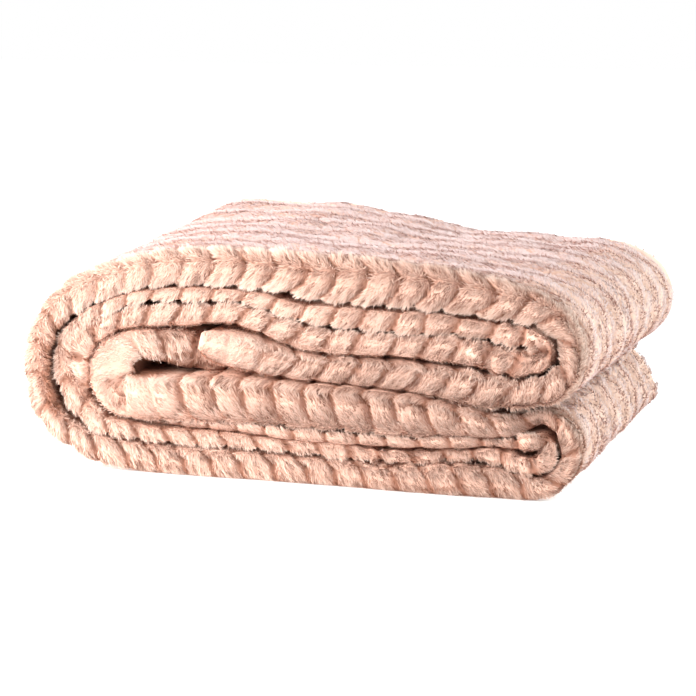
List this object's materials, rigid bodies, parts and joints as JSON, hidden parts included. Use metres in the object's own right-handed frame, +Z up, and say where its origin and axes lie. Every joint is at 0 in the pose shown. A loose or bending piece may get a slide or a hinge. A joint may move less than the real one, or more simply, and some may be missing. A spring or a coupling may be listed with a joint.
{
  "type": "throw blanket",
  "caption": "Plush throw blanket carved with plaited cables, folded into a soft rectangular stack with rounded front folds.",
  "frame": {"origin": "centre of the bounding box's bottom face, on the surface that the folded blanket rests on", "axes": "+X along the folded strip, -Y out of the face with the rounded front folds, +Z up"},
  "size_m": [0.4602, 0.3882, 0.177],
  "materials": {
    "plush": "short blush pink pile, carved in chevron cables, matt with a soft sheen on the tips"
  },
  "bodies": {
    "root": {"throw_blanket": "plush"}
  },
  "joints": []
}
